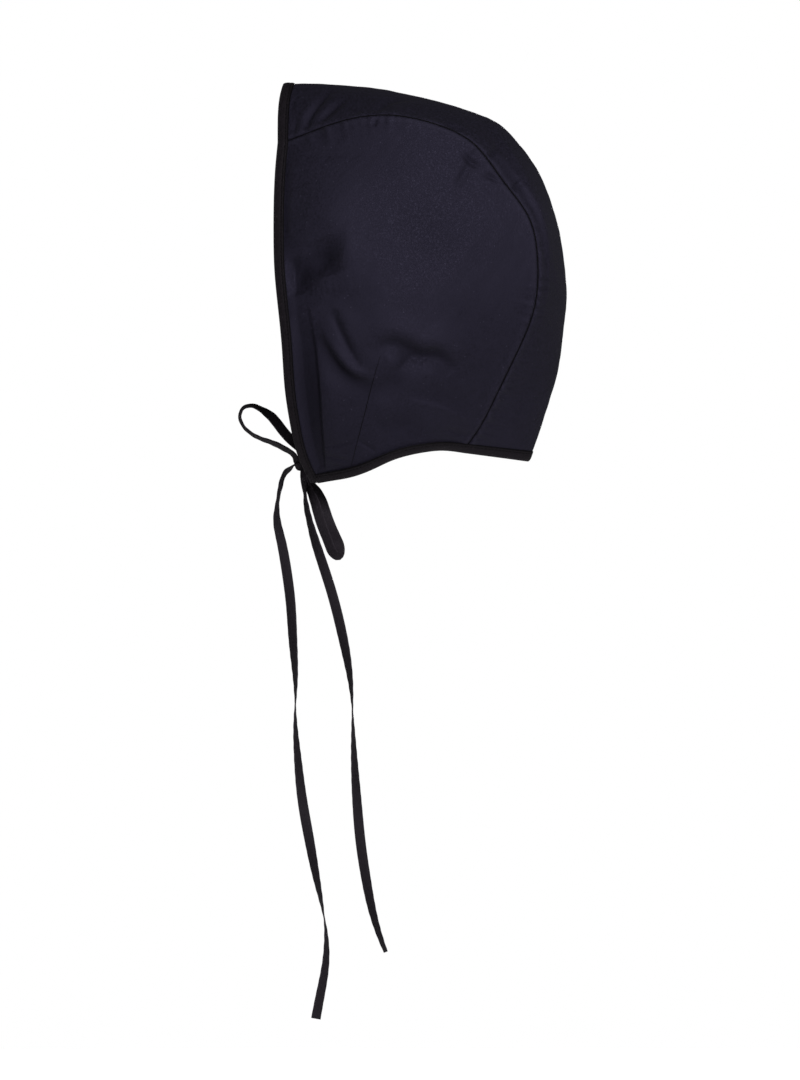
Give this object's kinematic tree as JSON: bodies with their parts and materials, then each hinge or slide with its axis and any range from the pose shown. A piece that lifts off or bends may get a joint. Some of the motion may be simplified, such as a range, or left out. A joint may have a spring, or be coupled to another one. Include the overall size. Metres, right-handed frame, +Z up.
{
  "type": "bonnet",
  "caption": "Hood-shaped cloth bonnet with bound face and neck edges and tape ties tied in a bow.",
  "frame": {"origin": "on the middle plane, on the inside of the crown at half the hood's depth, where the bonnet rests on the head", "axes": "+Z up, -Y out of the face opening, +X towards the wearer's left"},
  "size_m": [0.1534, 0.2424, 0.696],
  "materials": {
    "cloth": "plain woven navy cotton, matt",
    "binding": "black-brown bias tape, machine stitched",
    "tie_tape": "black-brown folded tape"
  },
  "bodies": {
    "root": {"centre_panel_brow": "cloth", "centre_panel_crown": "cloth", "centre_panel_nape": "cloth", "side_panel_left": "cloth", "side_panel_right": "cloth", "face_binding": "binding", "neck_binding": "binding", "tie_lead_left": "tie_tape", "tie_lead_right": "tie_tape", "bow_knot": "tie_tape", "bow_loop_front": "tie_tape", "bow_loop_low": "tie_tape", "tie_tail_long": "tie_tape", "tie_tail_short": "tie_tape"}
  },
  "joints": []
}
